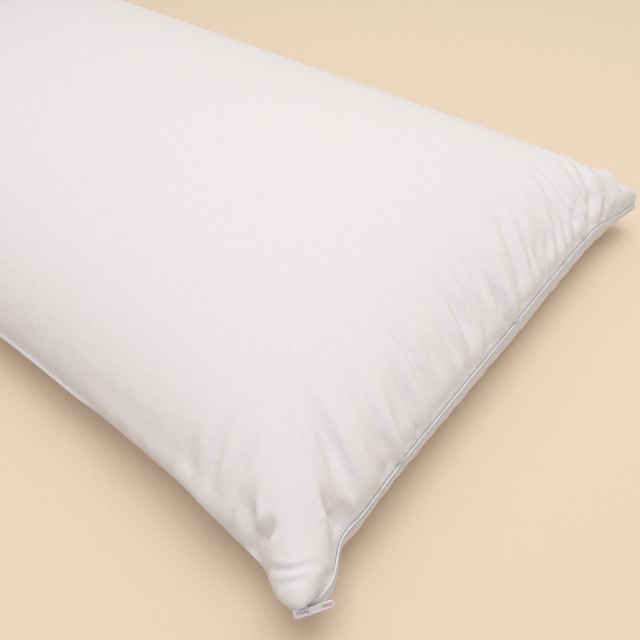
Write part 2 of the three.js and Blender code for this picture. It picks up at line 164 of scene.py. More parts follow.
# Creases on the near long side, and the folds that shape the near ear, in the same columns
NEAR_CREASES = [
    ([(99, -227), (105, -209), (108, -195), (111, -180)], 4.0, 2.0),
    ([(76, -226), (82, -215), (84, -206), (89, -181)], 4.0, 1.8),
    ([(50, -232), (58, -229), (62, -226), (69, -219), (73, -203)], 3.6, 3.4),
    ([(50, -232), (50, -227), (49, -222), (46, -216)], 4.0, 3.4),
    ([(26, -189), (21, -192), (17, -196)], 4.0, 2.4),
    ([(115, -227), (135, -200)], 5.0, 1.2),
]
EAR_FOLDS = [
    (
        [(41, -238), (31, -237), (25, -234), (20, -230), (17, -224), (15, -221), (9, -218), (2, -216)],
        1.6,
        1.5,
    ),
    ([(26, -243), (22, -241), (19, -238), (15, -234), (10, -228)], 1.8, 0.9),
    ([(4, -208), (7, -213), (7, -219), (7, -225), (8, -230), (9, -236)], 1.5, 1.5),
    ([(4, -222), (6, -230), (8, -237)], 1.3, 0.8),
]

# Gathers between and beyond the listed creases, drawn with a fixed seed
GATHER_SEED = 11
GATHER_COLUMNS = ("first", "last", "spacing", "reach", "lean", "depth")
TOP_GATHERS = {
    "zip": (-200, 226, 9, (45, 100), (0.35, 0.75), (0.9, 2.2)),
    "plain": (-225, 225, 15, (18, 55), (-0.5, 0.5), (0.6, 1.4)),
    "far": (-420, 330, 24, (18, 55), (-0.4, 0.4), (0.3, 0.9)),
    "near": (-420, 330, 24, (18, 55), (-0.5, 0.3), (0.3, 1.0)),
}
BOTTOM_GATHERS = {
    "zip": (-205, 225, 15, (18, 55), (-0.5, 0.5), (0.7, 2)),
    "plain": (-225, 225, 17, (18, 55), (-0.5, 0.5), (0.7, 2)),
    "far": (-420, 420, 24, (18, 55), (-0.5, 0.5), (0.7, 2)),
    "near": (-420, 400, 24, (18, 55), (-0.5, 0.5), (0.7, 2)),
}

# Each gather's points, width and unevenness in millimetres. As shares of the spacing, how far it can be
# out of its place and how soon the next one follows.
GATHER_POINTS = 4
GATHER_WIDTH = (3.2, 5.2)
GATHER_WOBBLE = 2
GATHER_SHIFT = 0.3
GATHER_PACE = (0.7, 1.4)

# Zip: a tape sewn along the seat, with a closed coil standing out of it, and a free end that the
# slider sits on. Stations run along the short side, closer together towards the ears. The free end
# stands off the seam over its first stations, and is raised and tilted over nearly as many.
SEAM_STATIONS = 40
STATION_CROWDING = 0.34
FIRST_STATION = 2
STATION_STEP = 0.25
TAPE_STAND_OFF = 0.3
FREE_END_STAND_OFF = 2.4
STAND_OFF_STATIONS = 5
LIFTED_STATIONS = 4
FREE_END = 13
FREE_END_BEARING = math.radians(57)
FREE_END_RISE = 2
FREE_END_TILT = math.radians(25)
TAPE_WIDTH = 6.6
TAPE_THICKNESS = 0.6
TAPE_CELL = 2.5
TAPE_CELLS_ACROSS = 10
TAPE_RIB = {"from": 0.4, "height": 0.35}
COIL_PITCH = 1.25
TOOTH_LENGTH = 2.4
TOOTH_WIDTH = 0.72
TOOTH_HEIGHT = 1.0
TOOTH_SLANT = math.radians(24)
TOOTH_OFFSET = 0.85
TOOTH_SINK = 0.05
TOOTH_ROUNDING = 0.24
TOOTH_TIP = (0.8, 0.7, 1)

# Slider, in its own frame: +X to its front, +Z away from the cover, tape's inner face on z = 0
SLIDER_LENGTH = 9.4
SLIDER_FRONT_WIDTH = 8
SLIDER_REAR_WIDTH = 6.6
PLATE_THICKNESS = 0.9
CHAIN_THICKNESS = 1.8
GAP = 0.3
NECK_LENGTH = 1.4
NECK_WIDTH = 2.2
NECK_INSET = 0.1
FLANGE_WIDTH = 0.7
FLANGE_DEPTH = 0.9
FRONT_ROUNDING = 2.6
REAR_ROUNDING = 0.9
BRIDGE_LENGTH = 6.4
BRIDGE_WIDTH = 1.5
BRIDGE_BAR = 0.9
BRIDGE_CLEAR = 1.7
BRIDGE_ROUNDING = 1.0
CAST_EDGE = 0.16

# Pull tab, lying back along the zip
PULL_LENGTH = 21
PULL_WIDTH = 5.2
PULL_THICKNESS = 1.1
PULL_BAR = 1.2
PULL_RAIL = 0.9
PULL_RECESS = 0.5
PULL_HOLE_LENGTH = 3.6
PULL_WINDOW_LENGTH = 5.6
PULL_END_BAR = 1.5
PULL_END_ROUNDING = 2.5
PULL_FRONT_ROUNDING = 0.9
GRIP_FROM_HOLE = 1.2
GRIP_FROM_WINDOW = 0.9
RIB_PITCH = 0.9
RIB_HEIGHT = 0.2
STAMPED_EDGE = 0.14

# How closely a face or edge has to face a way or lie at a place, in millimetres, to be chosen there
FACING = 0.9
CLOSE_BY = 0.1

# Cloth: the panels settle under the filling's pressure, held fast at the seams and where they lie
SETTLE_FRAMES = 18
PANEL_HOLD = 0.25
CLOTH = {
    "quality": 4,
    "mass": 0.02,
    "air_damping": 1,
    "tension_stiffness": 30,
    "compression_stiffness": 30,
    "shear_stiffness": 8,
    "bending_stiffness": 0.3,
    "tension_damping": 3,
    "compression_damping": 3,
    "shear_damping": 3,
    "bending_damping": 0.5,
    "use_pressure": True,
    "uniform_pressure_force": 3.0,
    "vertex_group_mass": "held",
    # Shrinks nothing, but has the cloth's rest lengths worked out again at every step
    "vertex_group_shrink": "held",
    "pin_stiffness": 1,
}
LYING_HEIGHT = 0.01
FURTHEST_MOVE = 8

# Small waves and half-deep creases that the cloth starts with, so that it finds its own folds
UNEVENNESS = 0.03
UNEVENNESS_WAVES = 60
UNEVENNESS_RADIANS_PER_MM = (0.04, 0.12)
UNEVENNESS_SEED = 7
CREASE_SEED_DEPTH = 0.5

# Share of each crease's depth that is pressed in after the cloth has settled, and how far a point has
# to be from the sewn edge, 0, to the top panel, 1, for the pressing to start there and to be whole
SCULPTED_DEPTH = 1.6
TOP_PANEL_STARTS = (0.5, 1)

# Cloth coordinates, in metres: where the bottom panel lies from the top one, and the cloth that each
# row of the sewn edge takes up
BOTTOM_PANEL_AWAY = (1.0, 0.0)
EDGE_ROW = 0.0015

# Cloth's look: how often its threads' thickness changes along and across them in a metre, the
# crossing threads' share of the relief, its depth in metres, and the colours of thin and thick places
THREAD_CHANGES = {"along": 90, "across": 800}
THREAD_RELIEF = 0.12
COTTON_RELIEF = 0.00032
COTTON_THIN = (0.817, 0.776, 0.791)
COTTON_THICK = (0.857, 0.816, 0.831)
TAPE_THIN = (0.83, 0.8, 0.83)
TAPE_THICK = (0.87, 0.84, 0.87)

# The photograph's camera, in the pillow's own plan
CAMERA_PLACE = (558.96, -333.49, 448.67)
CAMERA_BEARING = 0.7438
CAMERA_PITCH = 0.828
CAMERA_ROLL = 0.08
FOCAL_LENGTH_IN_FRAMES = 684.53 / 640
SENSOR_WIDTH = 36

# Point that the lights are aimed at, in metres
LIGHT_AIM = Vector((0.15, 0, 0.05))


def smoothstep(value, low, high):
    """0 below low, 1 above high and smooth between them."""
    share = np.clip((value - low) / (high - low), 0, 1)
    return share * share * (3 - 2 * share)


def ear_value(s, t, key):
    """The named size of the ear that each point of the cover belongs to."""
    zip_end = np.where(t < 0, EARS["zip", "near"][key], EARS["zip", "far"][key])
    plain_end = np.where(t < 0, EARS["plain", "near"][key], EARS["plain", "far"][key])
    return np.where(s > 0, zip_end, plain_end)


def drawn_in(side, place):
    """How far a side is drawn in at a place from -1 to 1 along it."""
    return side["draw_in"] * (1 - np.abs(place) ** side["power"])


def plan(s, t):
    """Plan of the cover: s runs along the length and t across it, both from -1 to 1."""
    reach = np.abs(s) ** EAR_CUT_POWER["along"] * np.abs(t) ** EAR_CUT_POWER["across"]
    cut = ear_value(s, t, "cut") * reach
    half_length = LENGTH / 2 - drawn_in(SHORT_SIDES, t) * np.abs(s) ** DRAW_IN_POWER
    long_side = np.where(t < 0, drawn_in(NEAR_SIDE, s), drawn_in(FAR_SIDE, s))
    half_width = WIDTH / 2 - long_side * np.abs(t) ** DRAW_IN_POWER
    x = s * half_length - np.sign(s) * cut
    y = t * half_width - np.sign(t) * cut
    push_x = 0
    push_y = 0
    for bulge in BULGES:
        squared = (x - bulge["at"][0]) ** 2 + (y - bulge["at"][1]) ** 2
        share = np.exp(-squared / bulge["reach"] ** 2)
        push_x = push_x + bulge["push"][0] * share
        push_y = push_y + bulge["push"][1] * share
    return x + push_x, y + push_y


def far_ear_drop(x, y):
    """How far the far ear hangs down at points of the plan."""
    inwards = LENGTH / 2 - x
    return FAR_EAR_DROP * (1 - smoothstep(inwards, *FAR_EAR_INWARDS)) * (1 - smoothstep(y, *FAR_EAR_ALONG))


def seam_height(s, t):
    """Height of the seam's middle: level along the sides, and off to the ears."""
    ear = smoothstep(np.abs(s), EAR_START["along"], 1) * smoothstep(np.abs(t), EAR_START["across"], 1)
    off_level = (ear_value(s, t, "height") - SIDE_SEAM_HEIGHT) * ear
    return SIDE_SEAM_HEIGHT + off_level - far_ear_drop(*plan(s, t))


def swell(s, t):
    """How far the panel has swelled: 0 on the seams and 1 at the crown."""
    along = np.clip(1 - np.abs(s) ** CROWN_POWER["along"], TINY, 1)
    across = np.clip(1 - np.abs(t) ** CROWN_POWER["across"], TINY, 1)
    both = along**-EAR_FULLNESS + across**-EAR_FULLNESS - 1
    on_seam = (along <= 2 * TINY) | (across <= 2 * TINY)
    return np.where(on_seam, 0, both ** (-PANEL_SWELL / EAR_FULLNESS))


def zip_share(s):
    """1 on the zip's side, fading to 0 round its two ears."""
    return smoothstep(s, 1 - ZIP_SEAT_FADE, 1)


def edge_height(s):
    """Height of the sewn edge between the two panels."""
    return FELL_HEIGHT + (ZIP_SEAT_HEIGHT - FELL_HEIGHT) * zip_share(s)


def top_panel(s, t):
    """Points of the top panel before any crease. Its foot hangs over the seam in some places."""
    x, y = plan(s, t)
    edge = seam_height(s, t) + edge_height(s) / 2
    rise = swell(s, t)
    foot = np.minimum(1, rise / OVERHANG_SHARE)
    overhang = 4 * foot * (1 - foot)
    zip_overhang = np.interp(t, ZIP_OVERHANG["place"], ZIP_OVERHANG["reach"])
    near_overhang = np.interp(s, NEAR_OVERHANG["place"], NEAR_OVERHANG["reach"])
    x = x + zip_overhang * smoothstep(s, *OVERHANG_GROWS) * overhang
    y = y - near_overhang * smoothstep(-t, *OVERHANG_GROWS) * overhang
    return np.stack([x, y, edge + (CROWN_HEIGHT - edge) * rise], axis=-1)


def bottom_panel(s, t):
    """Points of the bottom panel, which settles flat on the floor away from the seams."""
    x, y = plan(s, t)
    edge = seam_height(s, t) - edge_height(s) / 2
    lift = 1 - np.minimum(1, swell(s, t) / RESTING_SHARE)
    belly = 4 * lift * (1 - lift)
    zip_belly = np.interp(t, ZIP_BELLY["place"], ZIP_BELLY["swell"])
    x = x + np.where(s > 0, zip_belly, -PLAIN_BELLY) * belly * np.abs(s) ** BELLY_POWER
    y = y + np.where(t > 0, FAR_BELLY, -NEAR_BELLY) * belly * np.abs(t) ** BELLY_POWER
    return np.stack([x, y, edge * lift * lift], axis=-1)


def stations(cells, sizes, half_side):
    """Places from -1 to 1 whose cells follow the sizes wanted along the side."""
    fine = np.linspace(-1, 1, SIDE_SAMPLES)
    density = half_side / np.interp(fine, sizes["place"], sizes["size"])
    count = np.concatenate([[0], np.cumsum((density[1:] + density[:-1]) / 2 * np.diff(fine))])
    return np.interp(np.linspace(0, count[-1], cells + 1), count, fine)


def grid_normals(points):
    """Unit normals of a grid of points, across its own two directions."""
    along = np.gradient(points, axis=0)
    across = np.gradient(points, axis=1)
    normals = np.cross(along, across)
    length = np.linalg.norm(normals, axis=-1, keepdims=True)
    return normals / np.maximum(length, TINY)


def carried_past_seam(points):
    """A crease that starts beside the zip's seam, carried on past it. Others stay as they are."""
    first, second = np.array(points[:2], dtype=float)
    if first[0] > SEAM_SIDE:
        return points
    run = (first - second) / np.linalg.norm(first - second)
    return [tuple(first + run * PAST_SEAM), *points]


def from_zip_end(creases):
    """Creases whose points are given inwards from the zip end, as points of the pillow's plan."""
    return [
        ([(LENGTH / 2 - inwards, along) for inwards, along in carried_past_seam(points)], width, depth)
        for points, width, depth in creases
    ]


def smooth_line(points):
    """A crease's few points as one smooth line of evenly spaced ones."""
    corners = np.array(points, dtype=float)
    length = np.concatenate([[0], np.cumsum(np.linalg.norm(np.diff(corners, axis=0), axis=1))])
    even = np.linspace(0, length[-1], CREASE_POINTS)
    line = np.stack([np.interp(even, length, corners[:, axis]) for axis in (0, 1)], axis=-1)
    for _ in range(CREASE_SMOOTHING):
        line[1:-1] = (line[:-2] + 2 * line[1:-1] + line[2:]) / 4
    return line


def crease_depth(x, y, creases, section):
    """How far the creases press a panel in at its points, by a section across each crease."""
    depth_at = np.zeros_like(x)
    for points, width, depth in creases:
        line = smooth_line(points)
        reach = CREASE_REACH * width
        low = line.min(axis=0) - reach
        high = line.max(axis=0) + reach
        close = (x > low[0]) & (x < high[0]) & (y > low[1]) & (y < high[1])
        if not close.any():
            continue
        distance = np.hypot(x[close][:, None] - line[:, 0], y[close][:, None] - line[:, 1])
        nearest = distance.argmin(axis=1) / (len(line) - 1)
        taper = smoothstep(nearest, *CREASE_RISES) * (1 - smoothstep(nearest, *CREASE_FADES))
        depth_at[close] += depth * taper * section(distance.min(axis=1) / width)
    return depth_at


def valley(distance):
    """Section of a plain soft trough."""
    return np.exp(-(distance**2))


def valley_with_shoulders(distance):
    """Section of a crease whose two sides stand up a little."""
    from_shoulder = (distance - SHOULDERS["place"]) / SHOULDERS["width"]
    return valley(distance) - SHOULDERS["height"] * valley(from_shoulder)


def gathers(sides, rng):
    """Uneven short creases that run in from the seams of a panel."""
    creases = []
    for side, values in sides.items():
        row = dict(zip(GATHER_COLUMNS, values))
        place = row["first"]
        while place < row["last"]:
            reach = rng.uniform(*row["reach"])
            lean = rng.uniform(*row["lean"]) * reach
            start = place + rng.uniform(-GATHER_SHIFT, GATHER_SHIFT) * row["spacing"]
            steps = np.linspace(0, 1, GATHER_POINTS)
            wobble = rng.uniform(-GATHER_WOBBLE, GATHER_WOBBLE, GATHER_POINTS)
            sideways = start + lean * steps + wobble
            inwards = reach * steps - PAST_SEAM
            if side in ("zip", "plain"):
                out = LENGTH / 2 - SHORT_SIDES["draw_in"] - inwards
                points = list(zip(out if side == "zip" else -out, sideways))
            else:
                draw_in = NEAR_SIDE["draw_in"] if side == "near" else FAR_SIDE["draw_in"]
                out = WIDTH / 2 - draw_in - inwards
                points = list(zip(sideways, out if side == "far" else -out))
            creases.append((points, rng.uniform(*GATHER_WIDTH), rng.uniform(*row["depth"])))
            place += row["spacing"] * rng.uniform(*GATHER_PACE)
    return creases


def top_creases():
    """The listed creases of the top panel with its gathers."""
    placed = from_zip_end(ZIP_CREASES + NEAR_CREASES)
    return placed + gathers(TOP_GATHERS, np.random.default_rng(GATHER_SEED))


def bottom_creases():
    """Gathers of the bottom panel."""
    return gathers(BOTTOM_GATHERS, np.random.default_rng(GATHER_SEED + 1))


def unevenness(x, y):
    """Small soft waves that let the cloth find its own folds."""
    rng = np.random.default_rng(UNEVENNESS_SEED)
    total = np.zeros_like(x)
    for _ in range(UNEVENNESS_WAVES):
        heading = rng.uniform(0, 2 * math.pi)
        turn = rng.uniform(*UNEVENNESS_RADIANS_PER_MM)
        phase = rng.uniform(0, 2 * math.pi)
        total += np.cos(turn * (math.cos(heading) * x + math.sin(heading) * y) + phase)
    return UNEVENNESS * total / math.sqrt(UNEVENNESS_WAVES)


def grid_faces(first):
    """Quads of one panel grid whose points start at index first, facing up."""
    columns = CELLS_ACROSS + 1
    index = first + np.arange((CELLS_ALONG + 1) * columns).reshape(CELLS_ALONG + 1, columns)
    corners = [index[:-1, :-1], index[1:, :-1], index[1:, 1:], index[:-1, 1:]]
    return np.stack(corners, axis=-1).reshape(-1, 4)


def new_mesh_object(name, points, faces):
    """An object in the scene from points in metres and faces."""
    mesh = bpy.data.meshes.new(name)
    mesh.from_pydata(points.tolist(), [], faces.tolist())
    mesh.update()
    made = bpy.data.objects.new(name, mesh)
    bpy.context.collection.objects.link(made)
    return made


def read_from(elements, name, width):
    """One property of all a mesh's elements, as rows of numbers of this width."""
    values = np.empty(len(elements) * width, dtype=np.float32)
    elements.foreach_get(name, values)
    return values.reshape(-1, width)


def make_active(target):
    """Select this object alone, for the operators that act on the selection."""
    bpy.ops.object.select_all(action="DESELECT")
    target.select_set(True)
    bpy.context.view_layer.objects.active = target


def add_cloth(sheet, rest_key):
    """Cloth that the filling presses outwards, held at its seams and softly elsewhere."""
    modifier = sheet.modifiers.new("cover", "CLOTH")
    for name, value in CLOTH.items():
        setattr(modifier.settings, name, value)
    modifier.settings.rest_shape_key = rest_key
    modifier.settings.effector_weights.gravity = 0
    modifier.collision_settings.use_collision = False
    modifier.point_cache.frame_start = 1
    modifier.point_cache.frame_end = SETTLE_FRAMES


def settle(start, rest, held, faces):
    """Let the panels settle from their start shape, and give back their points."""
    sheet = new_mesh_object("settling", start * MM, faces)
    sheet.shape_key_add(name="Basis")
    rest_key = sheet.shape_key_add(name="cut")
    rest_key.data.foreach_set("co", (rest * MM).astype(np.float32).reshape(-1))
    group = sheet.vertex_groups.new(name="held")
    for index, weight in enumerate(held.tolist()):
        group.add([index], weight, "REPLACE")
    scene = bpy.context.scene
    scene.frame_start = 1
    scene.frame_end = SETTLE_FRAMES
    add_cloth(sheet, rest_key)
    for number in range(1, SETTLE_FRAMES + 1):
        scene.frame_set(number)
    settled = sheet.evaluated_get(bpy.context.evaluated_depsgraph_get()).to_mesh()
    move = read_from(settled.vertices, "co", 3) / MM - rest
    bpy.data.objects.remove(sheet)
    scene.frame_set(1)
    length = np.linalg.norm(move, axis=1, keepdims=True)
    return rest + move * np.minimum(1, FURTHEST_MOVE / np.maximum(length, TINY))


def settled_panels():
    """Points of both panels after the cloth has settled, as two grids."""
    along = stations(CELLS_ALONG, CELL_SIZE_ALONG, LENGTH / 2)
    across = stations(CELLS_ACROSS, CELL_SIZE_ACROSS, WIDTH / 2)
    s, t = np.meshgrid(along, across, indexing="ij")
    border = (np.abs(s) >= 1) | (np.abs(t) >= 1)
    panels = [
        {"rest": top_panel(s, t), "up": 1, "creases": top_creases()},
        {"rest": bottom_panel(s, t), "up": -1, "creases": bottom_creases()},
    ]
    starts = []
    held = []
    for panel in panels:
        rest = panel["rest"]
        x = rest[..., 0]
        y = rest[..., 1]
        push = unevenness(x, y) - CREASE_SEED_DEPTH * crease_depth(x, y, panel["creases"], valley)
        lying = (rest[..., 2] <= LYING_HEIGHT) & (panel["up"] < 0)
        push = np.where(border | lying, 0, push)
        starts.append(rest + panel["up"] * grid_normals(rest) * push[..., None])
        held.append(np.where(border | lying, 1.0, PANEL_HOLD))
    size = s.size
    moved = settle(
        start=np.concatenate([points.reshape(-1, 3) for points in starts]),
        rest=np.concatenate([panel["rest"].reshape(-1, 3) for panel in panels]),
        held=np.concatenate([weights.reshape(-1) for weights in held]),
        faces=np.concatenate([grid_faces(0), grid_faces(size)[:, ::-1]]),
    )
    top = moved[:size].reshape(*s.shape, 3)
    bottom = moved[size:].reshape(*s.shape, 3)
    bottom[..., 2] = np.maximum(bottom[..., 2], 0)
    return s, t, top, bottom


def station_of(t):
    """Station of the zip's line at places from -1 to 1 along the short side."""
    every_station = np.arange(0, SEAM_STATIONS + STATION_STEP / 2, STATION_STEP)
    return np.interp(t, crowded(every_station), every_station)


def crowded(station):
    """Place from -1 to 1 of a station along the short side."""
    even = 2 * station / SEAM_STATIONS - 1
    return np.clip(even * (1 + STATION_CROWDING * (1 - even * even)), -1, 1)


def tape_stand_off(station):
    """How far the tape's inner face stands off the seam: most where its free end leaves it."""
    near_end = 1 - smoothstep(station - FIRST_STATION, 0, STAND_OFF_STATIONS)
    return TAPE_STAND_OFF + (FREE_END_STAND_OFF - TAPE_STAND_OFF) * near_end


def lifted_share(station):
    """Share of the free end's lift and tilt: all at the first station, none at the ear's middle."""
    return 1 - smoothstep(station - FIRST_STATION, 0, LIFTED_STATIONS)


def rim_cells():
    """Grid cells round the rim, counter-clockwise seen from above."""
    last_along = CELLS_ALONG
    last_across = CELLS_ACROSS
    near = [(i, 0) for i in range(last_along)]
    zip_side = [(last_along, j) for j in range(last_across)]
    far = [(i, last_across) for i in range(last_along, 0, -1)]
    plain = [(0, j) for j in range(last_across, 0, -1)]
    return np.array(near + zip_side + far + plain)


def outward_directions(line):
    """Unit outward directions in plan along a closed counter-clockwise line."""
    run = np.roll(line, -1, axis=0) - np.roll(line, 1, axis=0)
    outward = np.stack([run[:, 1], -run[:, 0]], axis=-1)
    return outward / np.linalg.norm(outward, axis=1, keepdims=True)


def sewn_edge_rows(s, t, top_rim, bottom_rim):
    """Rows of points of the sewn edge, from the top panel's rim down to the bottom panel's."""
    outward = outward_directions(top_rim[:, :2])
    middle = (top_rim + bottom_rim) / 2
    share = zip_share(s)[:, None]
    near = 1 - smoothstep(t, *NEAR_ROLL_FADES)
    rolled_under = near * np.interp(s, NEAR_ROLL["place"], NEAR_ROLL["share"])
    fell_reach = (1 - (1 - ROLLED_FELL) * rolled_under)[:, None]
    slack = np.where(s >= 1, tape_stand_off(station_of(t)) - TAPE_STAND_OFF, 0)[:, None]
    rows = []
    for (fell_out, fell_up), (seat_out, seat_up) in zip(FELL_SECTION, SEAT_SECTION):
        out = fell_out * fell_reach + (seat_out + slack - fell_out * fell_reach) * share
        up = fell_up + (seat_up - fell_up) * share
        rows.append(np.concatenate([middle[:, :2] + outward * out, middle[:, 2:] + up], axis=1))
    return rows


def pillow_mesh():
    """The closed cover: both panels and the sewn edge between them."""
    s, t, top, bottom = settled_panels()
    size = s.size
    rim = rim_cells()
    rim_index = rim[:, 0] * (CELLS_ACROSS + 1) + rim[:, 1]
    top_rim = top[rim[:, 0], rim[:, 1]]
    bottom_rim = bottom[rim[:, 0], rim[:, 1]]
    rows = sewn_edge_rows(s[rim[:, 0], rim[:, 1]], t[rim[:, 0], rim[:, 1]], top_rim, bottom_rim)
    count = len(rim)
    levels = [rim_index]
    levels += [2 * size + level * count + np.arange(count) for level in range(len(rows))]
    levels += [size + rim_index]
    band = []
    for upper, lower in zip(levels[:-1], levels[1:]):
        band.append(np.stack([upper, lower, np.roll(lower, -1), np.roll(upper, -1)], axis=-1))
    points = np.concatenate([top.reshape(-1, 3), bottom.reshape(-1, 3)] + rows)
    points[:, :2] += PLAN_MIDDLE
    faces = np.concatenate([grid_faces(0), grid_faces(size)[:, ::-1]] + band)
    cover = new_mesh_object("pillow_cover", points * MM, faces)
    panel = np.concatenate([np.ones(size), -np.ones(size), np.zeros(count * len(rows))])
    panel_of_point = cover.data.attributes.new("panel", "FLOAT", "POINT")
    panel_of_point.data.foreach_set("value", panel.astype(np.float32))
    cut_to = np.stack([s.reshape(-1) * LENGTH / 2, t.reshape(-1) * WIDTH / 2], axis=-1) * MM
    set_cloth_uv(cover.data, cut_to, rim_index, len(rows), size)
    return cover


def set_cloth_uv(mesh, cut_to, rim_index, rows, size):
    """Cloth coordinates in metres, so that the weave follows each panel as it was cut."""
    rim_uv = cut_to[rim_index]
    outward = rim_uv / np.linalg.norm(rim_uv, axis=1, keepdims=True)
    band_uv = [rim_uv + outward * EDGE_ROW * (level + 1) for level in range(rows)]
    point_uv = np.concatenate([cut_to, cut_to + BOTTOM_PANEL_AWAY] + band_uv)
    corner_point = np.empty(len(mesh.loops), dtype=np.int32)
    mesh.loops.foreach_get("vertex_index", corner_point)
    corner_uv = point_uv[corner_point]
    panel_corners = 4 * 2 * CELLS_ALONG * CELLS_ACROSS
    in_band = np.arange(len(corner_point)) >= panel_corners
    on_bottom_rim = in_band & (corner_point >= size) & (corner_point < 2 * size)
    corner_uv[on_bottom_rim] -= BOTTOM_PANEL_AWAY
    layer = mesh.uv_layers.new(name="cloth")
    layer.uv.foreach_set("vector", corner_uv.astype(np.float32).reshape(-1))


def subdivide(target):
    """Smooth a soft piece with one subdivision, applied."""
    finish_with(target, "SUBSURF", levels=1, render_levels=1)
    bpy.ops.object.shade_smooth()


def sculpt_creases(cover):
    """Press the fine creases into the top panel of the subdivided cover."""
    mesh = cover.data
    points = read_from(mesh.vertices, "co", 3).astype(float)
    normals = read_from(mesh.vertex_normals, "vector", 3)
    panel = read_from(mesh.attributes["panel"].data, "value", 1)[:, 0]
    x = points[:, 0] / MM - PLAN_MIDDLE[0]
    y = points[:, 1] / MM - PLAN_MIDDLE[1]
    creases = top_creases() + from_zip_end(EAR_FOLDS)
    drop = SCULPTED_DEPTH * crease_depth(x, y, creases, valley_with_shoulders)
    drop *= smoothstep(panel, *TOP_PANEL_STARTS)
    points -= normals * (drop * MM)[:, None]
    mesh.vertices.foreach_set("co", points.astype(np.float32).reshape(-1))
    mesh.update()


def make_pillow():
    """The filled cover, with its creases pressed in."""
    cover = pillow_mesh()
    subdivide(cover)
    sculpt_creases(cover)
    cover.data.attributes.remove(cover.data.attributes["panel"])
    return cover


def zip_line():
    """Line of the tape's inner face, in the pillow's plan: free end first, then along the seam."""
    station = np.arange(FIRST_STATION, SEAM_STATIONS + STATION_STEP / 2, STATION_STEP)
    t = crowded(station)
    s = np.ones_like(t)
    x, y = plan(s, t)
    run = np.stack([np.gradient(x), np.gradient(y)], axis=-1)
    run /= np.linalg.norm(run, axis=1, keepdims=True)
    stand_off = tape_stand_off(station)
    line = np.stack([x + run[:, 1] * stand_off, y - run[:, 0] * stand_off, seam_height(s, t)], axis=-1)
    line[:, 2] += FREE_END_RISE * lifted_share(station)
    back = np.array([math.cos(FREE_END_BEARING), math.sin(FREE_END_BEARING), 0])
    return np.concatenate([[line[0] - back * FREE_END], line])


def zip_path(line):
    """The zip's line as a curve that the straight tape and coil are bent along."""
    path = bpy.data.curves.new("zip_path", "CURVE")
    path.dimensions = "3D"
    path.twist_mode = "Z_UP"
    spline = path.splines.new("POLY")
    spline.points.add(len(line) - 1)
    station = FIRST_STATION + STATION_STEP * (np.arange(len(line)) - 1)
    for point, place, lifted in zip(spline.points, line, lifted_share(station)):
        point.co = (*((place + (*PLAN_MIDDLE, 0)) * MM), 1)
        point.tilt = -FREE_END_TILT * lifted
    bent = bpy.data.objects.new("zip_path", path)
    bpy.context.collection.objects.link(bent)
    return bent, spline.calc_length() / MM


def finish_with(target, kind, **settings):
    """Add a modifier with these settings and apply it."""
    make_active(target)
    modifier = target.modifiers.new("finish", kind)
    for name, value in settings.items():
        setattr(modifier, name, value)
    bpy.ops.object.modifier_apply(modifier=modifier.name)


def start_from_cube(name, centre, size):
    """A cube of this size in millimetres as the start of a piece, with its size in its mesh."""
    bpy.ops.object.select_all(action="DESELECT")
    bpy.ops.mesh.primitive_cube_add(size=1, location=[value * MM for value in centre])
    made = bpy.context.object
    made.name = name
    made.scale = [value * MM for value in size]
    bpy.ops.object.transform_apply(location=True, rotation=True, scale=True)
    return made


def choose(kind, test):
    """In edit mode, select the faces or edges that pass the test and nothing else."""
    bpy.ops.mesh.select_mode(type="FACE" if kind == "faces" else "EDGE")
    bpy.ops.mesh.select_all(action="DESELECT")
    target = bpy.context.edit_object
    shape = bmesh.from_edit_mesh(target.data)
    if kind == "faces":
        shape.normal_update()
        for face in shape.faces:
            if test(face.calc_center_median() / MM, face.normal):
                face.select_set(True)
    else:
        for edge in shape.edges:
            first, second = (corner.co / MM for corner in edge.verts)
            if test((first + second) / 2, (second - first).normalized()):
                edge.select_set(True)
    shape.select_flush_mode()
    bmesh.update_edit_mesh(target.data)


def cut_across(axis, places):
    """In edit mode, cut the whole piece by planes square to one axis, in millimetres."""
    normal = [0, 0, 0]
    normal[axis] = 1
    for place in places:
        centre = [0, 0, 0]
        centre[axis] = place * MM
        bpy.ops.mesh.select_all(action="SELECT")
        bpy.ops.mesh.bisect(plane_co=centre, plane_no=normal)


def join_as(name, pieces):
    """Join pieces into one, named after what they make."""
    bpy.ops.object.select_all(action="DESELECT")
    for piece in pieces:
        piece.select_set(True)
    bpy.context.view_layer.objects.active = pieces[0]
    bpy.ops.object.join()
    pieces[0].name = name
    return pieces[0]


def bend_along(target, path):
    """Bend a straight piece that lies along X to follow the path."""
    finish_with(target, "CURVE", object=path, deform_axis="POS_X")


def round_edges(test, radius, segments):
    """In edit mode, round the edges that pass the test to this radius in millimetres."""
    choose("edges", test)
    bpy.ops.mesh.bevel(offset=radius * MM, segments=segments)


def extrude_faces(test, move):
    """In edit mode, extrude the faces that pass the test by this move in millimetres."""
    choose("faces", test)
    bpy.ops.mesh.extrude_region_move(TRANSFORM_OT_translate={"value": [step * MM for step in move]})


def soften_hard_edges(target, width, angle):
    """Round a metal piece's hard edges, and shade it smooth up to this angle in degrees."""
    finish_with(target, "BEVEL", width=width * MM, segments=2, limit_method="ANGLE")
    bpy.ops.object.shade_smooth_by_angle(angle=math.radians(angle))


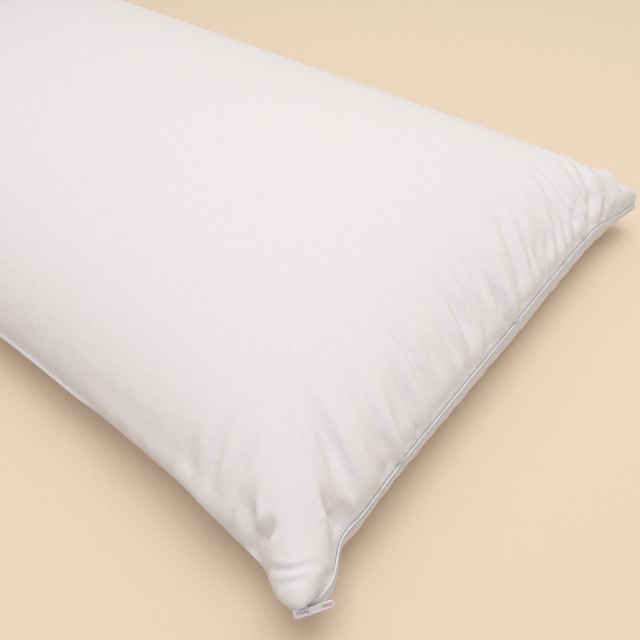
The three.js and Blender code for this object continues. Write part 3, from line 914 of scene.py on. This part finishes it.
def make_tape(path, length):
    """Woven tape, with the thicker edges that the cover is stitched to."""
    cells = round(length / TAPE_CELL)
    bpy.ops.object.select_all(action="DESELECT")
    bpy.ops.mesh.primitive_grid_add(
        x_subdivisions=cells,
        y_subdivisions=TAPE_CELLS_ACROSS,
        size=1,
        location=(length / 2 * MM, 0, 0),
        rotation=(math.pi / 2, 0, 0),
    )
    tape = bpy.context.object
    tape.name = "zip_tape"
    tape.scale = (length * MM, TAPE_WIDTH * MM, 1)
    bpy.ops.object.transform_apply(location=True, rotation=True, scale=True)
    finish_with(tape, "SOLIDIFY", thickness=TAPE_THICKNESS * MM, offset=1)
    bpy.ops.object.mode_set(mode="EDIT")
    rib_start = TAPE_RIB["from"] * TAPE_WIDTH
    extrude_faces(
        lambda middle, normal: normal.y < -FACING and abs(middle.z) > rib_start,
        (0, -TAPE_RIB["height"], 0),
    )
    bpy.ops.object.mode_set(mode="OBJECT")
    bend_along(tape, path)
    make_active(tape)
    bpy.ops.object.shade_smooth_by_angle(angle=math.radians(40))
    return tape


def make_tooth(side, along):
    """One turn of the coil: a short slanted bar whose end is rounded over."""
    reach = TOOTH_OFFSET * side
    outward = -(TAPE_THICKNESS + TOOTH_HEIGHT / 2 - TOOTH_SINK)
    tooth = start_from_cube("tooth", (0, 0, 0), (TOOTH_WIDTH, TOOTH_HEIGHT, TOOTH_LENGTH))
    bpy.ops.object.mode_set(mode="EDIT")
    round_edges(lambda middle, run: middle.y < -CLOSE_BY, TOOTH_ROUNDING, 2)
    choose("faces", lambda middle, normal: normal.z * side < -FACING)
    bpy.ops.transform.resize(value=TOOTH_TIP)
    bpy.ops.mesh.select_all(action="SELECT")
    bpy.ops.transform.rotate(value=TOOTH_SLANT * side, orient_axis="Y", center_override=(0, 0, 0))
    bpy.ops.transform.translate(value=(along * MM, outward * MM, reach * MM))
    bpy.ops.object.mode_set(mode="OBJECT")
    return tooth


def make_coil(path, length):
    """Closed coil: the two rows of turns interlock in a fine herringbone."""
    coil = join_as("zip_coil", [make_tooth(1, COIL_PITCH / 4), make_tooth(-1, COIL_PITCH * 3 / 4)])
    count = int(length / COIL_PITCH)
    finish_with(
        coil,
        "ARRAY",
        fit_type="FIXED_COUNT",
        count=count,
        use_relative_offset=False,
        use_constant_offset=True,
        constant_offset_displace=(COIL_PITCH * MM, 0, 0),
    )
    bend_along(coil, path)
    make_active(coil)
    bpy.ops.object.shade_smooth_by_angle(angle=math.radians(50))
    return coil


def seat_on_free_end(piece, line):
    """Move a piece from the slider's own frame to its place on the zip's free end."""
    back = Vector((math.cos(FREE_END_BEARING), math.sin(FREE_END_BEARING), 0))
    level = Vector((back.y, -back.x, 0))
    outward = level * math.cos(FREE_END_TILT) + Vector((0, 0, math.sin(FREE_END_TILT)))
    frontway = -back
    side = outward.cross(frontway)
    turn = Matrix((frontway, side, outward)).transposed().to_4x4()
    start = Vector(line[0]) + Vector((*PLAN_MIDDLE, 0))
    place = start + frontway * (GAP - (SLIDER_LENGTH / 2 - NECK_LENGTH))
    piece.matrix_world = Matrix.Translation(place * MM) @ turn
    make_active(piece)
    bpy.ops.object.transform_apply(location=True, rotation=True, scale=True)


def make_plate(name, low, flange):
    """One plate of the slider: wide and rounded in front, narrow behind, with a lip each side."""
    half = SLIDER_LENGTH / 2
    centre = (0, 0, low + PLATE_THICKNESS / 2)
    plate = start_from_cube(name, centre, (SLIDER_LENGTH, SLIDER_FRONT_WIDTH, PLATE_THICKNESS))
    bpy.ops.object.mode_set(mode="EDIT")
    cut_across(0, [0])
    choose("faces", lambda middle, normal: normal.x < -FACING)
    bpy.ops.transform.resize(value=(1, SLIDER_REAR_WIDTH / SLIDER_FRONT_WIDTH, 1))
    round_edges(lambda middle, run: abs(run.z) > FACING and middle.x > half - CLOSE_BY, FRONT_ROUNDING, 6)
    round_edges(lambda middle, run: abs(run.z) > FACING and middle.x < CLOSE_BY - half, REAR_ROUNDING, 3)
    if flange:
        lip = SLIDER_REAR_WIDTH / 2 - FLANGE_WIDTH
        cut_across(1, [-lip, lip])
        extrude_faces(lambda middle, normal: normal.z < -FACING and abs(middle.y) > lip, (0, 0, -flange))
    bpy.ops.object.mode_set(mode="OBJECT")
    return plate


def make_bridge():
    """The bridge on the slider's front plate, with the opening that the pull tab hangs in."""
    foot = CHAIN_THICKNESS + GAP + PLATE_THICKNESS / 2
    top = CHAIN_THICKNESS + GAP + PLATE_THICKNESS + BRIDGE_CLEAR + BRIDGE_BAR
    height = top - foot
    bridge = start_from_cube("bridge", (0, 0, (foot + top) / 2), (BRIDGE_LENGTH, BRIDGE_WIDTH, height))
    bpy.ops.object.mode_set(mode="EDIT")
    choose("faces", lambda middle, normal: abs(normal.y) > FACING)
    bpy.ops.mesh.inset(thickness=BRIDGE_BAR * MM, depth=0, use_individual=True)
    bpy.ops.mesh.bridge_edge_loops()
    round_edges(lambda middle, run: abs(run.y) > FACING and middle.z > top - CLOSE_BY, BRIDGE_ROUNDING, 4)
    bpy.ops.object.mode_set(mode="OBJECT")
    return bridge


def make_slider(line):
    """Cast slider: two plates joined by a neck at the front, with the bridge on the outer one."""
    outer_low = CHAIN_THICKNESS + GAP
    outer_plate = make_plate("outer_plate", outer_low, FLANGE_DEPTH)
    inner_plate = make_plate("inner_plate", -GAP - PLATE_THICKNESS, 0)
    neck_middle = (SLIDER_LENGTH / 2 - NECK_LENGTH / 2, 0, CHAIN_THICKNESS / 2)
    neck_height = CHAIN_THICKNESS + 2 * GAP + PLATE_THICKNESS
    neck = start_from_cube("neck", neck_middle, (NECK_LENGTH - NECK_INSET, NECK_WIDTH, neck_height))
    slider = join_as("zip_slider_body", [outer_plate, inner_plate, neck, make_bridge()])
    soften_hard_edges(slider, CAST_EDGE, 35)
    seat_on_free_end(slider, line)
    return slider


def make_pull(line):
    """Stamped pull tab: a raised rim, a hole for the bridge, a ribbed grip and an open window."""
    front = PULL_BAR / 2
    end = front - PULL_LENGTH
    low = CHAIN_THICKNESS + GAP + PLATE_THICKNESS + GAP
    top = low + PULL_THICKNESS
    centre = ((front + end) / 2, 0, (low + top) / 2)
    pull = start_from_cube("zip_pull_tab", centre, (PULL_LENGTH, PULL_WIDTH, PULL_THICKNESS))
    inner_side = PULL_WIDTH / 2 - PULL_RAIL
    hole_front = front - PULL_BAR
    hole_back = hole_front - PULL_HOLE_LENGTH
    window_end = end + PULL_END_BAR
    window_start = window_end + PULL_WINDOW_LENGTH
    grip_front = hole_back - GRIP_FROM_HOLE
    grip_back = window_start + GRIP_FROM_WINDOW
    ribs = np.arange(grip_back, grip_front, RIB_PITCH / 2)

    def inside(middle, back, forward):
        return abs(middle.y) < inner_side and back < middle.x < forward

    def on_rib(middle):
        odd = int((middle.x - grip_back) / (RIB_PITCH / 2)) % 2 == 1
        return odd and middle.z < top - CLOSE_BY and inside(middle, grip_back, grip_front)

    bpy.ops.object.mode_set(mode="EDIT")
    round_edges(lambda m, run: abs(run.z) > FACING and m.x < end + CLOSE_BY, PULL_END_ROUNDING, 8)
    round_edges(lambda m, run: abs(run.z) > FACING and m.x > front - CLOSE_BY, PULL_FRONT_ROUNDING, 4)
    cut_across(1, [-inner_side, inner_side])
    cut_across(0, [window_end, window_start, *ribs, grip_front, hole_back, hole_front])
    for back, forward in ((hole_back, hole_front), (window_end, window_start)):
        choose("faces", lambda m, n: abs(n.z) > FACING and inside(m, back, forward))
        bpy.ops.mesh.bridge_edge_loops()
    extrude_faces(lambda m, n: n.z > FACING and inside(m, window_start, hole_back), (0, 0, -PULL_RECESS))
    extrude_faces(lambda m, n: n.z > FACING and on_rib(m), (0, 0, RIB_HEIGHT))
    bpy.ops.object.mode_set(mode="OBJECT")
    soften_hard_edges(pull, STAMPED_EDGE, 35)
    seat_on_free_end(pull, line)
    return pull


def new_group(name, inputs, outputs):
    """A shader node group with these sockets, and its input and output nodes."""
    group = bpy.data.node_groups.new(name, "ShaderNodeTree")
    for socket, kind in inputs.items():
        group.interface.new_socket(socket, in_out="INPUT", socket_type=kind)
    for socket, kind in outputs.items():
        group.interface.new_socket(socket, in_out="OUTPUT", socket_type=kind)
    return group, group.nodes.new("NodeGroupInput"), group.nodes.new("NodeGroupOutput")


def add_math(tree, operation, first, second):
    """A maths node on two values, each a socket or a number."""
    node = tree.nodes.new("ShaderNodeMath")
    node.operation = operation
    for socket, value in zip(node.inputs, (first, second)):
        if isinstance(value, bpy.types.NodeSocket):
            tree.links.new(value, socket)
        else:
            socket.default_value = value
    return node.outputs["Value"]


def add_streaks(tree, place, thread):
    """Noise stretched along one direction of thread, at a place given in metres."""
    stretch = tree.nodes.new("ShaderNodeVectorMath")
    stretch.operation = "MULTIPLY"
    stretch.inputs[1].default_value = thread
    tree.links.new(place, stretch.inputs[0])
    noise = tree.nodes.new("ShaderNodeTexNoise")
    noise.inputs["Scale"].default_value = 1
    noise.inputs["Detail"].default_value = 2
    tree.links.new(stretch.outputs["Vector"], noise.inputs["Vector"])
    return noise.outputs["Fac"]


def plain_weave():
    """Two directions of thread that cross over and under, and vary in thickness."""
    value = "NodeSocketFloat"
    group, given, result = new_group(
        "plain_weave",
        {"Cloth": "NodeSocketVector", "Threads per metre": value, "Unevenness": value},
        {"Height": value, "Thickness": value},
    )
    parts = group.nodes.new("ShaderNodeSeparateXYZ")
    group.links.new(given.outputs["Cloth"], parts.inputs[0])
    turns = add_math(group, "MULTIPLY", given.outputs["Threads per metre"], math.pi)
    weft_wave = add_math(group, "SINE", add_math(group, "MULTIPLY", parts.outputs["X"], turns), 0)
    warp_wave = add_math(group, "SINE", add_math(group, "MULTIPLY", parts.outputs["Y"], turns), 0)
    crossing = add_math(group, "MULTIPLY", weft_wave, warp_wave)
    across, along = THREAD_CHANGES["across"], THREAD_CHANGES["along"]
    warp = add_streaks(group, given.outputs["Cloth"], (across, along, 0))
    weft = add_streaks(group, given.outputs["Cloth"], (along, across, 0))
    thickness = add_math(group, "MULTIPLY", add_math(group, "ADD", warp, weft), 0.5)
    slubs = add_math(group, "MULTIPLY", thickness, given.outputs["Unevenness"])
    height = add_math(group, "ADD", add_math(group, "MULTIPLY", crossing, THREAD_RELIEF), slubs)
    group.links.new(height, result.inputs["Height"])
    group.links.new(thickness, result.inputs["Thickness"])
    return group


def fine_speckle():
    """Even fine specks, for surfaces that are nearly one colour."""
    value = "NodeSocketFloat"
    group, given, result = new_group(
        "fine_speckle", {"Place": "NodeSocketVector", "Specks per metre": value}, {"Speck": value}
    )
    noise = group.nodes.new("ShaderNodeTexNoise")
    noise.inputs["Detail"].default_value = 3
    group.links.new(given.outputs["Place"], noise.inputs["Vector"])
    group.links.new(given.outputs["Specks per metre"], noise.inputs["Scale"])
    group.links.new(noise.outputs["Fac"], result.inputs["Speck"])
    return group


def new_material(name, roughness):
    """A material with its main shader, and a place for its nodes."""
    material = bpy.data.materials.new(name)
    material.use_nodes = True
    shader = material.node_tree.nodes["Principled BSDF"]
    shader.inputs["Roughness"].default_value = roughness
    return material, material.node_tree, shader


def add_group(tree, group, **values):
    """A node that uses a shared group with these values."""
    node = tree.nodes.new("ShaderNodeGroup")
    node.node_tree = group
    for name, value in values.items():
        node.inputs[name.replace("_", " ")].default_value = value
    return node


def colour_between(tree, shader, share, spread, thin, thick):
    """Base colour that goes from one colour to another as a share crosses this spread about a half."""
    ramp = tree.nodes.new("ShaderNodeMapRange")
    ramp.inputs["From Min"].default_value = 0.5 - spread / 2
    ramp.inputs["From Max"].default_value = 0.5 + spread / 2
    tree.links.new(share, ramp.inputs["Value"])
    mix = tree.nodes.new("ShaderNodeMix")
    mix.data_type = "RGBA"
    mix.inputs["A"].default_value = (*thin, 1)
    mix.inputs["B"].default_value = (*thick, 1)
    tree.links.new(ramp.outputs["Result"], mix.inputs["Factor"])
    tree.links.new(mix.outputs["Result"], shader.inputs["Base Color"])


def relief(tree, shader, height, depth):
    """Bump from a height, in metres at its full depth."""
    bump = tree.nodes.new("ShaderNodeBump")
    bump.inputs["Strength"].default_value = 1
    bump.inputs["Distance"].default_value = depth
    tree.links.new(height, bump.inputs["Height"])
    tree.links.new(bump.outputs["Normal"], shader.inputs["Normal"])


def white_cotton(weave):
    """Matt white plain-woven cotton on the cover's own cloth coordinates."""
    material, tree, shader = new_material("white_cotton", roughness=0.9)
    shader.inputs["Sheen Weight"].default_value = 0.08
    shader.inputs["Sheen Roughness"].default_value = 0.6
    cloth = tree.nodes.new("ShaderNodeUVMap")
    cloth.uv_map = "cloth"
    threads = add_group(tree, weave, Threads_per_metre=2400, Unevenness=1)
    tree.links.new(cloth.outputs["UV"], threads.inputs["Cloth"])
    thickness = threads.outputs["Thickness"]
    colour_between(tree, shader, thickness, spread=0.3, thin=COTTON_THIN, thick=COTTON_THICK)
    relief(tree, shader, threads.outputs["Height"], depth=COTTON_RELIEF)
    return material


def woven_tape(weave, length):
    """The zip's finer and closer tape, woven along its length."""
    material, tree, shader = new_material("woven_tape", roughness=0.8)
    strip = tree.nodes.new("ShaderNodeUVMap")
    strip.uv_map = "UVMap"
    size = tree.nodes.new("ShaderNodeMapping")
    size.inputs["Scale"].default_value = (length * MM, TAPE_WIDTH * MM, 1)
    tree.links.new(strip.outputs["UV"], size.inputs["Vector"])
    threads = add_group(tree, weave, Threads_per_metre=3600, Unevenness=0.5)
    tree.links.new(size.outputs["Vector"], threads.inputs["Cloth"])
    thickness = threads.outputs["Thickness"]
    colour_between(tree, shader, thickness, spread=0.4, thin=TAPE_THIN, thick=TAPE_THICK)
    relief(tree, shader, threads.outputs["Height"], depth=0.00012)
    return material


def speckled(name, speckle, roughness, specks_per_metre, dull, bright, depth):
    """A nearly even surface on the piece's own coordinates."""
    material, tree, shader = new_material(name, roughness)
    place = tree.nodes.new("ShaderNodeTexCoord")
    specks = add_group(tree, speckle, Specks_per_metre=specks_per_metre)
    tree.links.new(place.outputs["Object"], specks.inputs["Place"])
    colour_between(tree, shader, specks.outputs["Speck"], spread=0.4, thin=dull, thick=bright)
    relief(tree, shader, specks.outputs["Speck"], depth)
    return material


def nylon_coil(speckle):
    """Smooth translucent-white nylon of the zip's coil."""
    return speckled(
        "nylon_coil",
        speckle,
        roughness=0.4,
        specks_per_metre=900,
        dull=(0.80, 0.78, 0.80),
        bright=(0.88, 0.86, 0.87),
        depth=0.00004,
    )


def plated_metal(speckle):
    """Bright plating, softly polished, with faint marks."""
    material = speckled(
        "plated_metal",
        speckle,
        roughness=0.3,
        specks_per_metre=700,
        dull=(0.77, 0.79, 0.87),
        bright=(0.87, 0.89, 0.97),
        depth=0.00002,
    )
    material.node_tree.nodes["Principled BSDF"].inputs["Metallic"].default_value = 0.45
    return material


def floor_paper(speckle):
    """Plain matt beige paper with the faintest grain."""
    return speckled(
        "floor_beige",
        speckle,
        roughness=0.9,
        specks_per_metre=500,
        dull=(0.835, 0.672, 0.522),
        bright=(0.865, 0.698, 0.544),
        depth=0.00015,
    )


def make_floor(speckle):
    """A wide plain floor under the pillow."""
    bpy.ops.object.select_all(action="DESELECT")
    bpy.ops.mesh.primitive_plane_add(size=12, location=(0, 0, 0))
    floor = bpy.context.object
    floor.name = "floor"
    floor.data.materials.append(floor_paper(speckle))
    return floor


def make_camera():
    """The camera that the photograph was taken with."""
    data = bpy.data.cameras.new("photo_camera")
    data.sensor_width = SENSOR_WIDTH
    data.lens = SENSOR_WIDTH * FOCAL_LENGTH_IN_FRAMES
    camera = bpy.data.objects.new("photo_camera", data)
    bpy.context.collection.objects.link(camera)
    turn = Matrix.Rotation(CAMERA_BEARING, 4, "Z")
    tilt = Matrix.Rotation(math.pi / 2 - CAMERA_PITCH, 4, "X")
    roll = Matrix.Rotation(-CAMERA_ROLL, 4, "Z")
    place = Vector(CAMERA_PLACE) + Vector((*PLAN_MIDDLE, 0))
    camera.matrix_world = Matrix.Translation(place * MM) @ turn @ tilt @ roll
    bpy.context.scene.camera = camera


def add_light(name, kind, towards, energy, colour):
    """A lamp that shines on the pillow from this direction, at the distance of the vector."""
    light = bpy.data.lights.new(name, kind)
    light.energy = energy
    light.color = colour
    lamp = bpy.data.objects.new(name, light)
    bpy.context.collection.objects.link(lamp)
    lamp.location = LIGHT_AIM + Vector(towards)
    lamp.rotation_euler = Vector(towards).to_track_quat("Z", "Y").to_euler()
    return light


def make_lights():
    """A soft box over the zip end, broad daylight from the far left and a fill from the near side."""
    soft_box = add_light(
        "soft_box", "AREA", towards=(0.15, 0.1, 1.55), energy=11.4, colour=(0.97, 1, 0.95)
    )
    soft_box.size = 1.2
    daylight = add_light(
        "broad_daylight", "SUN", towards=(-0.63, 0.775, 1.55), energy=0.58, colour=(0.92, 1, 1.12)
    )
    daylight.angle = math.radians(60)
    fill = add_light(
        "low_fill", "SUN", towards=(0.677, -0.736, 0.35), energy=0.38, colour=(0.78, 0.97, 1.28)
    )
    fill.angle = math.radians(90)
    world = bpy.data.worlds.new("studio")
    world.use_nodes = True
    background = world.node_tree.nodes["Background"]
    background.inputs["Color"].default_value = (1.05, 1, 0.9, 1)
    background.inputs["Strength"].default_value = 0.43
    bpy.context.scene.world = world


weave = plain_weave()
speckle = fine_speckle()

make_camera()
make_lights()
floor = make_floor(speckle)

cover = make_pillow()
cover.data.materials.append(white_cotton(weave))
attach(cover, "root")
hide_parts("pillow")

line = zip_line()
path, length = zip_path(line)
tape = make_tape(path, length)
coil = make_coil(path, length)
bpy.data.objects.remove(path)
for piece in (tape, coil):
    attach(piece, "root")
    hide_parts("zip_chain")
tape.data.materials.append(woven_tape(weave, length))
coil.data.materials.append(nylon_coil(speckle))

slider = make_slider(line)
pull = make_pull(line)
metal = plated_metal(speckle)
for piece, node in ((slider, "zip_slider"), (pull, "zip_pull")):
    piece.data.materials.append(metal)
    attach(piece, "root")
    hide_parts(node)

bpy.context.scene.view_settings.view_transform = "Standard"
